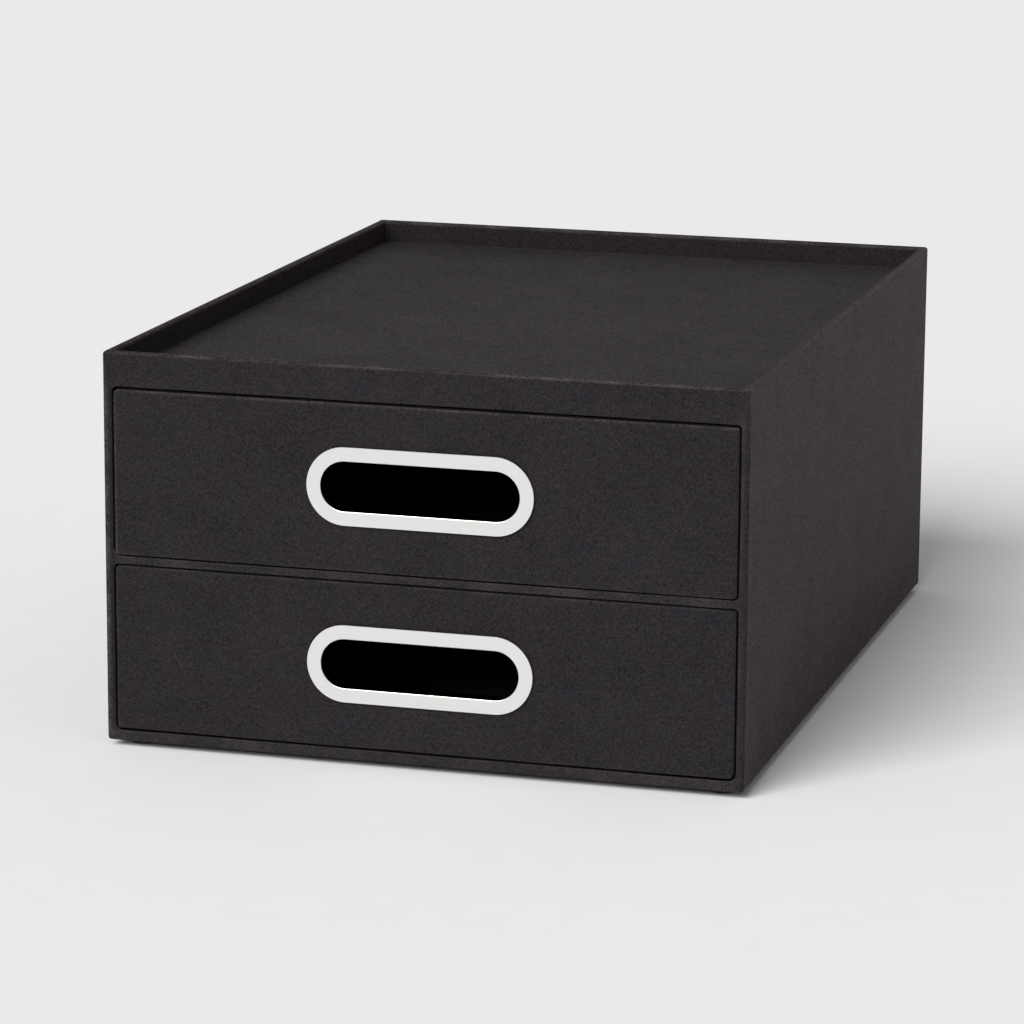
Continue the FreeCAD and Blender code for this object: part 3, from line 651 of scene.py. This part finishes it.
def foot_rubber():
    """Matte moulded rubber, faintly dusty."""
    made = Shader("foot_rubber")
    grain = made.noise(made.places, *RUBBER_NOISE)
    dust = made.noise(made.places, *DUST_NOISE)
    colour = made.mix(made.range(dust, *DUST_RANGE), RUBBER_CLEAN, RUBBER_DUSTY)
    made.link(colour, made.bsdf.inputs["Base Color"])
    made.link(made.range(grain, *NOISE_SPAN, *RUBBER_ROUGH), made.bsdf.inputs["Roughness"])
    made.bump(grain, *RUBBER_RELIEF)
    return made.material


CASE_CLOTH = bookcloth("case_bookcloth", *CASE_TINTS)
TRAY_CLOTH = bookcloth("tray_bookcloth", *TRAY_TINTS)
MATERIALS = {"bookcloth": bookcloth("bookcloth", *FRONT_TINTS), "handle_metal": handle_metal(),
             "lining_paper": lining_paper(), "grey_board": grey_board(), "foot_rubber": foot_rubber()}


def dress_cad_nodes():
    """Give every CAD node the procedural material of its slot."""
    slots = {part["node"]: part["material_slot"] for part in frame["record"]["subparts"]}
    for name, piece in frame["nodes"].items():
        piece.data.materials.clear()
        piece.data.materials.append(MATERIALS[slots[name]])


def case_levels():
    """The case's cloth from base to tray: inset of the sides and of the faces, heights of both, and wear."""
    levels = [(CASE_MARGIN, CASE_MARGIN, BASE_Z, BASE_Z, 0.0)]
    for side, face in zip(quarter_round(BASE_SIDE_FOLD)[::-1], quarter_round(FACE_FOLD)[::-1]):
        levels.append((side[0], face[0], BASE_Z + side[1], BASE_Z + face[1],
                       LOW_FOLD_WORN * side[2]))
    low = BASE_Z + BASE_SIDE_FOLD + HEM
    high = RIM_Z - RIM_OUTER_FOLD - HEM
    for step in range(WALL_STEPS + 1):
        z = low + (high - low) * step / WALL_STEPS
        levels.append((0.0, 0.0, z, z, 0.0))
    for inset, drop, wear in quarter_round(RIM_OUTER_FOLD):
        levels.append((inset, inset, RIM_Z - drop, RIM_Z - drop, wear))
    for inset, drop, wear in quarter_round(RIM_INNER_FOLD)[::-1]:
        levels.append((PANEL - inset, PANEL - inset, RIM_Z - drop, RIM_Z - drop, wear))
    levels.append((PANEL, PANEL, RIM_Z - RIM_INNER_FOLD - HEM, RIM_Z - RIM_INNER_FOLD - HEM, 0.0))
    levels.append((PANEL, PANEL, TRAY_Z - SKIN, TRAY_Z - SKIN, 0.0))
    return levels


# The levels between which the case's faces stand upright: the margin and the base fold lie below them
LOW_LEVEL = 1 + (FOLD_STEPS + 1)
HIGH_LEVEL = LOW_LEVEL + WALL_STEPS


def case_rows(sheet, chosen):
    """Rows of points for a stretch of the case's outline, at each level."""
    rows = []
    for side_in, face_in, side_z, face_z, wear in case_levels():
        inset = max(side_in, face_in)
        radius = CORNER_FOLD if inset < PANEL / 2 else INNER_CORNER_FOLD
        path = rounded_path(HALF - side_in, FRONT_Y + face_in, BACK_Y - face_in, [radius] * 4,
                            ACROSS_STEPS, DEEP_STEPS)
        row = []
        for number in chosen(len(path)):
            x, y, out_x, out_y = path[number % len(path)]
            z = side_z * out_x ** 2 + face_z * (1 - out_x ** 2)
            shift = -abs(wander((x, y, z), RIM_WAVE, FOLD_WANDER, RIM_SEED)) * wear
            corner = 2 * abs(out_x * out_y)
            row.append(sheet.point((x + out_x * shift, y + out_y * shift, z), max(wear, corner)))
        rows.append(row)
    return rows


# Where the front left corner starts in a path, which begins at the front right one and has one point more
# than steps in each corner and each run, and where the case's two front mitres are
LEFT_CORNER = 3 * (ARC_STEPS + 1) + 2 * (DEEP_STEPS + 1) + (ACROSS_STEPS + 1)
RIGHT_MITRE = ARC_STEPS // 2
LEFT_MITRE = LEFT_CORNER + ARC_STEPS // 2


def case_outer_cloth():
    """Cloth of both sides and the back: under the base, up, over the rims and down to the tray."""
    sheet = Sheet()
    rows = case_rows(sheet, lambda count: range(RIGHT_MITRE, LEFT_MITRE + 1))
    beside = ARC_STEPS - RIGHT_MITRE
    # A painted sheen on each side beside its upright front edge
    for row in rows[LOW_LEVEL:HIGH_LEVEL]:
        for column in (beside, beside + 1, -beside - 1, -beside - 2):
            row[column][sheet.wear] = SIDE_PAINTED_SHEEN
    sheet.grid(rows)
    sheet.finish("case_outer_cloth", "case", CASE_CLOTH, CLOTH_SOLID,
                 ["case_outer_cover"])


def mouth_rows(sheet, level):
    """Rows of points round a bay's mouth, from the face to the hem inside."""
    low, high = bay_heights(level)
    low_sag, high_sag = MOUTH_SAG[level]
    radii = [radius * MM for radius in MOUTH_CORNERS[level]]
    rows = []
    for out, depth, wear in mouth_section():
        # All but the hem stands a little off the lining
        loose = depth < CASE_MARGIN
        path = rounded_path(BAY_HALF - MOUTH_TIGHT * loose, low - low_sag * loose,
                            high - high_sag * loose, radii, ACROSS_STEPS, UP_STEPS, out)
        row = []
        for x, z, out_x, out_z in path:
            shift = wander((x, 0, z), MOUTH_WAVE, MOUTH_WANDER, MOUTH_SEED) * loose
            # Painted crease shade inside the mouth, weaker at its left edge; on the face side wear plus each
            # edge's value, painted shade where that is below zero
            if wear < 0:
                worn = wear * edge_wear_and_shade(MOUTH_SHADE_SHARE, out_x, out_z)
            else:
                worn = wear + edge_wear_and_shade(MOUTH_WEAR_AND_SHADE[level], out_x, out_z) * (out > 0)
            row.append(sheet.point((x + out_x * shift, FRONT_Y + depth, z + out_z * shift), worn))
        rows.append(row)
    return rows


def case_front_cloth():
    """Cloth of the front: the face round both mouths, turned into the bays, over the rim and under."""
    sheet = Sheet()
    rows = case_rows(sheet, lambda count: range(LEFT_MITRE, count + RIGHT_MITRE + 1))
    first = LEFT_CORNER + ARC_STEPS - LEFT_MITRE + 1
    last = first + ACROSS_STEPS
    for row in rows[LOW_LEVEL:HIGH_LEVEL]:
        row[first - 1][sheet.wear] = LEFT_WORN
        row[first][sheet.wear] = LEFT_WORN_BESIDE
        # Painted shade along the front's right fold
        for point in row[last + 1:]:
            point[sheet.wear] = RIGHT_PAINTED_SHADE
    # The base fold: wear above its middle, painted shade under it
    for level, row in enumerate(rows[1:LOW_LEVEL + 1]):
        for point in row[first + 1:last]:
            point[sheet.wear] = BASE_WORN if level > FOLD_STEPS / 2 else UNDER_PAINTED_SHADE
    sheet.grid(rows, skip=lambda level, number: LOW_LEVEL <= level < HIGH_LEVEL and first <= number < last)
    face = rows[LOW_LEVEL][first:last + 1]
    face += [rows[level][last] for level in range(LOW_LEVEL + 1, HIGH_LEVEL)]
    face += rows[HIGH_LEVEL][first:last + 1][::-1]
    face += [rows[level][first] for level in range(HIGH_LEVEL - 1, LOW_LEVEL, -1)]
    loops = [face]
    for level in ("lower", "upper"):
        mouth = mouth_rows(sheet, level)
        sheet.grid(mouth, closed=True)
        loops.append(mouth[0])
    sheet.fill(loops, (0, -1, 0))
    sheet.finish("case_front_cloth", "case", MATERIALS["bookcloth"], CLOTH_SOLID,
                 ["case_front_cover"])


def tray_floor_cloth():
    """The sheet laid in the tray, lying almost flat."""
    sheet = Sheet()
    low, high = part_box("tray_floor_cover")
    rows = []
    for j in range(TRAY_STEPS_DEEP + 1):
        y = low[1] + TRAY_GAP + (high[1] - low[1] - 2 * TRAY_GAP) * j / TRAY_STEPS_DEEP
        row = []
        for i in range(TRAY_STEPS_ACROSS + 1):
            x = low[0] + TRAY_GAP + (high[0] - low[0] - 2 * TRAY_GAP) * i / TRAY_STEPS_ACROSS
            z = high[2] + wander((x, y, 0), TRAY_WAVE, TRAY_BUCKLE, TRAY_SEED)
            # Painted shade: the tray's cloth darkens and loses sheen towards its back wall
            dull = TRAY_PAINTED_SHADE + (TRAY_PAINTED_SHADE_BACK - TRAY_PAINTED_SHADE) * math.exp((y - high[1]) / TRAY_PAINTED_SHADE_REACH)
            row.append(sheet.point((x, y, z), -dull))
        rows.append(row)
    sheet.grid(rows)
    sheet.finish("tray_floor_cloth", "case", TRAY_CLOTH, CLOTH_SOLID,
                 ["tray_floor_cover"])


def front_cloth(level):
    """Cloth of a drawer's front: folded over every edge, cut out at the slot, turned in behind."""
    sheet = Sheet()
    low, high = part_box(f"{level}_front_cover")
    radii = [radius * MM for radius in FRONT_CORNERS[level]]
    thick = high[1] - low[1]
    bend = quarter_round(FRONT_FOLD)
    section = [(-FRONT_FOLD - HEM, 0.0, 0.0, 0.0)]
    # Past the fold's middle, where it turns into the gap, the cloth carries painted shade
    section += [(-drop, inset, FRONT_FOLD_WORN * wear, 1.0) if drop > inset
                else (-drop, inset, FRONT_PAINTED_SHADE, 0.0) for inset, drop, wear in bend]
    section += [(-inset, thick - drop, BEHIND_FOLD_WORN * wear, 0.0) for inset, drop, wear in bend]
    section.append((-DRAWER_MARGIN, thick, 0.0, 0.0))
    rows = []
    for out, depth, wear, worn in section:
        row = []
        for x, z, out_x, out_z in rounded_path(high[0], low[2], high[2], radii, ACROSS_STEPS, UP_STEPS, out):
            shift = wander((x, 0, z), FRONT_WAVE, FOLD_WANDER, FRONT_SEED) if out > -FRONT_FOLD else 0.0
            # On the face side each edge adds its value: wear, or painted shade where it is below zero
            row.append(sheet.point((x + out_x * shift, low[1] + depth, z + out_z * shift),
                                   wear + worn * edge_wear_and_shade(FRONT_WEAR_AND_SHADE[level], out_x, out_z)))
        rows.append(row)
    sheet.grid(rows, closed=True, flip=True)
    plate_low, plate_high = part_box(f"{level}_handle_plate")
    middle = (plate_low[2] + plate_high[2]) / 2
    slot = [sheet.point((x, low[1], z)) for x, z, _, _ in stadium_path(CUT_LENGTH, CUT_HEIGHT, middle)]
    sheet.fill([rows[0], slot], (0, -1, 0))
    sheet.finish(f"{level}_front_cloth", f"{level}_drawer", MATERIALS["bookcloth"], CLOTH_SOLID,
                 [f"{level}_front_cover"])


def wall_cloth(level):
    """Cloth of a drawer's walls: margins under the floor, up, over the top edges and down inside."""
    sheet = Sheet()
    low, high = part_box(f"{level}_wall_cover")
    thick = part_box(f"{level}_left_wall_board")[1][0] - low[0] + SKIN
    levels = [(DRAWER_MARGIN, low[2], 0.0)]
    levels += [(inset, low[2] + rise, LOW_FOLD_WORN * wear)
               for inset, rise, wear in quarter_round(WALL_FOLD)[::-1]]
    levels += [(0.0, low[2] + WALL_FOLD + HEM, 0.0), (0.0, high[2] - WALL_FOLD - HEM, 0.0)]
    levels += [(inset, high[2] - drop, wear) for inset, drop, wear in quarter_round(WALL_FOLD)]
    levels += [(thick - inset, high[2] - drop, wear)
               for inset, drop, wear in quarter_round(WALL_INNER_FOLD)[::-1]]
    levels.append((thick, high[2] - WALL_INNER_FOLD - HEM, 0.0))
    levels.append((thick, high[2] - DRAWER_MARGIN, 0.0))
    rows = []
    for inset, z, wear in levels:
        radius = max(WALL_FOLD - inset, LEAST_WALL_RADIUS)
        path = rounded_path(high[0] - inset, low[1], high[1] - inset, [0.0, radius, radius, 0.0],
                            ACROSS_STEPS, DEEP_STEPS)
        row = []
        for x, y, _, _ in path[ARC_STEPS:LEFT_CORNER + 1]:
            lift = wander((x, y, 0), WALL_WAVE, FOLD_WANDER, WALL_SEED) * wear
            row.append(sheet.point((x, y, z - abs(lift)), wear * WALL_FOLDS_WORN))
        rows.append(row)
    sheet.grid(rows)
    sheet.finish(f"{level}_wall_cloth", f"{level}_drawer", MATERIALS["bookcloth"], CLOTH_SOLID,
                 [f"{level}_wall_cover"])


# Handle plate: width of its rim, collar, bevel of the slot, broken outer edge and the step beside a bend
FLANGE_WIDTH = 5.3 * MM
COLLAR_WALL = 0.8 * MM
SLOT_BEVEL = 0.32 * MM
RIM_BREAK = 0.06 * MM
HAIR = 0.02 * MM

# Back ring
RING_WIDTH = 4.0 * MM
RING_EDGE = 0.3 * MM

# Feet: taper, edge, dish and lip, and where the dish is flat and where it rises, in shares of the tread
FOOT_TAPER = 0.35 * MM
FOOT_EDGE = 0.5 * MM
FOOT_DISH = 0.25 * MM
FOOT_LIP = 0.2 * MM
FOOT_FLAT = 0.55
FOOT_RISE = 0.72
FOOT_RISE_DISH = 0.4
FOOT_STEPS = 48


def handle_plate(level):
    """The metal plate with its bevelled slot, and the collar behind it."""
    sheet = Sheet()
    low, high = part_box(f"{level}_handle_plate")
    face, seat, back = low[1], FRONT_Y, high[1]
    slot_length = high[0] - low[0] - 2 * FLANGE_WIDTH
    slot_height = high[2] - low[2] - 2 * FLANGE_WIDTH
    path = stadium_path(slot_length, slot_height, (low[2] + high[2]) / 2)
    corner = FLANGE_WIDTH - RIM_BREAK
    section = [(0.0, back, POLISHED), (COLLAR_WALL, back, SAWN), (COLLAR_WALL, seat, SAWN),
               (FLANGE_WIDTH, seat, SAWN), (FLANGE_WIDTH, face + RIM_BREAK + HAIR, SAWN),
               (FLANGE_WIDTH - HAIR, face + RIM_BREAK - HAIR, SAWN), (corner + HAIR, face + HAIR / 2, SAWN),
               (corner - HAIR, face, SAWN), (corner - 3 * HAIR, face, BRUSHED),
               (SLOT_BEVEL + HAIR, face, BRUSHED)]
    section += [(inset, face + drop, BRUSHED) for inset, drop, _ in quarter_round(SLOT_BEVEL)[::-1]]
    section.append((0.0, face + SLOT_BEVEL + HAIR, POLISHED))
    rows = []
    for out, y, wear in section:
        rows.append([sheet.point((x + out_x * out, y, z + out_z * out), wear) for x, z, out_x, out_z in path])
    sheet.grid(rows + rows[:1], closed=True, flip=True)
    sheet.finish(f"{level}_handle_metal", f"{level}_drawer", MATERIALS["handle_metal"],
                 replaces=[f"{level}_handle_plate"])


def back_ring(level):
    """The ring behind the board that holds the handle: a flat stamping with rolled edges."""
    sheet = Sheet()
    low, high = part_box(f"{level}_handle_back_ring")
    path = stadium_path(high[0] - low[0] - 2 * RING_WIDTH, high[2] - low[2] - 2 * RING_WIDTH,
                        (low[2] + high[2]) / 2)
    corners = [(0, low[1], 1, 1), (RING_WIDTH, low[1], -1, 1), (RING_WIDTH, high[1], -1, -1),
               (0, high[1], 1, -1)]
    section = []
    for number, (out, y, side_out, side_y) in enumerate(corners):
        bend = quarter_round(RING_EDGE)
        if number % 2 == 1:
            bend = bend[::-1]
        section += [(out + side_out * inset, y + side_y * drop) for inset, drop, _ in bend]
    rows = [[sheet.point((x + out_x * out, y, z + out_z * out)) for x, z, out_x, out_z in path]
            for out, y in section]
    sheet.grid(rows + rows[:1], closed=True)
    sheet.finish(f"{level}_back_ring_metal", f"{level}_drawer",
                 MATERIALS["handle_metal"], replaces=[f"{level}_handle_back_ring"])


def foot(node):
    """A rubber foot: a low disc with a soft edge round a slightly dished tread."""
    sheet = Sheet()
    low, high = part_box(node)
    radius = (high[0] - low[0]) / 2
    middle = [(high[axis] + low[axis]) / 2 for axis in (0, 1)]
    tread = radius - FOOT_TAPER
    outline = [(tread * FOOT_FLAT, low[2] + FOOT_DISH),
               (tread * FOOT_RISE, low[2] + FOOT_DISH * FOOT_RISE_DISH)]
    outline += [(tread - inset, low[2] + rise) for inset, rise, _ in quarter_round(FOOT_EDGE)[::-1]]
    outline += [(radius - FOOT_LIP / 4, high[2] - 1.5 * FOOT_LIP), (radius, high[2] - FOOT_LIP / 2),
                (radius - FOOT_LIP, high[2])]
    turns = [4 * QUARTER * step / FOOT_STEPS for step in range(FOOT_STEPS)]
    rows = [[sheet.point((middle[0] + reach * math.cos(turn), middle[1] + reach * math.sin(turn), z))
             for turn in turns] for reach, z in outline]
    sheet.grid(rows, closed=True)
    sheet.face(rows[0][::-1])
    sheet.face(rows[-1])
    sheet.finish(f"{node}_rubber", "case", MATERIALS["foot_rubber"], replaces=[node])


# Studio: a pale floor, one wide key standing front left (azimuth from the front, elevation, spread and
# strength) and white light from all round
FLOOR_HALF = 5
FLOOR_NEAR = -4
FLOOR_FAR = 7
FLOOR_LOW = (0.935, 0.935, 0.935)
FLOOR_HIGH = (0.965, 0.965, 0.965)
FLOOR_NOISE = (60, 3)
FLOOR_ROUGH = 0.8
FLOOR_GLOSS = 0.2
KEY = (-17.5, 36.5, 41.0, 3.12)
WORLD_COLOUR = (1, 1, 1, 1)
WORLD_STRENGTH = 0.30


def soft_sun(azimuth, elevation, spread, strength):
    """A wide soft light from far away, so the floor is lit alike everywhere; azimuth is where it stands."""
    data = bpy.data.lights.new("soft_sun", "SUN")
    data.angle = math.radians(spread)
    data.energy = strength
    piece = bpy.data.objects.new("soft_sun", data)
    turn = Matrix.Rotation(math.radians(azimuth), 4, "Z")
    tilt = Matrix.Rotation(math.radians(90 - elevation), 4, "X")
    piece.matrix_world = turn @ tilt
    bpy.context.collection.objects.link(piece)


def studio():
    """Pale floor, soft light from the front left, and even light from all round."""
    mesh = bpy.data.meshes.new("floor")
    mesh.from_pydata([(-FLOOR_HALF, FLOOR_NEAR, 0), (FLOOR_HALF, FLOOR_NEAR, 0),
                      (FLOOR_HALF, FLOOR_FAR, 0), (-FLOOR_HALF, FLOOR_FAR, 0)], [], [(0, 1, 2, 3)])
    floor = bpy.data.objects.new("floor", mesh)
    bpy.context.collection.objects.link(floor)
    made = Shader("floor")
    grain = made.noise(made.places, *FLOOR_NOISE)
    made.link(made.mix(grain, FLOOR_LOW, FLOOR_HIGH), made.bsdf.inputs["Base Color"])
    made.set(Roughness=FLOOR_ROUGH, Specular_IOR_Level=FLOOR_GLOSS)
    mesh.materials.append(made.material)
    soft_sun(*KEY)
    world = bpy.data.worlds.new("studio")
    world.use_nodes = True
    background = world.node_tree.nodes["Background"]
    background.inputs["Color"].default_value = WORLD_COLOUR
    background.inputs["Strength"].default_value = WORLD_STRENGTH
    bpy.context.scene.world = world
    bpy.context.scene.view_settings.view_transform = "Standard"


def camera():
    """The photograph's viewpoint."""
    data = bpy.data.cameras.new("photo_camera")
    data.lens = CAMERA_LENS
    data.sensor_width = SENSOR
    data.clip_end = CAMERA_REACH
    piece = bpy.data.objects.new("photo_camera", data)
    turn = Matrix.Rotation(math.radians(CAMERA_AZIMUTH), 4, "Z")
    tilt = Matrix.Rotation(math.radians(90 - CAMERA_ELEVATION), 4, "X")
    roll = Matrix.Rotation(math.radians(CAMERA_ROLL), 4, "Z")
    piece.matrix_world = Matrix.Translation(CAMERA_PLACE) @ turn @ tilt @ roll
    bpy.context.collection.objects.link(piece)
    bpy.context.scene.camera = piece


camera()
studio()
dress_cad_nodes()
case_outer_cloth()
case_front_cloth()
tray_floor_cloth()
for drawer in ("upper", "lower"):
    front_cloth(drawer)
    wall_cloth(drawer)
    handle_plate(drawer)
    back_ring(drawer)
for row in ("front", "back"):
    for side in ("left", "right"):
        foot(f"foot_{row}_{side}")
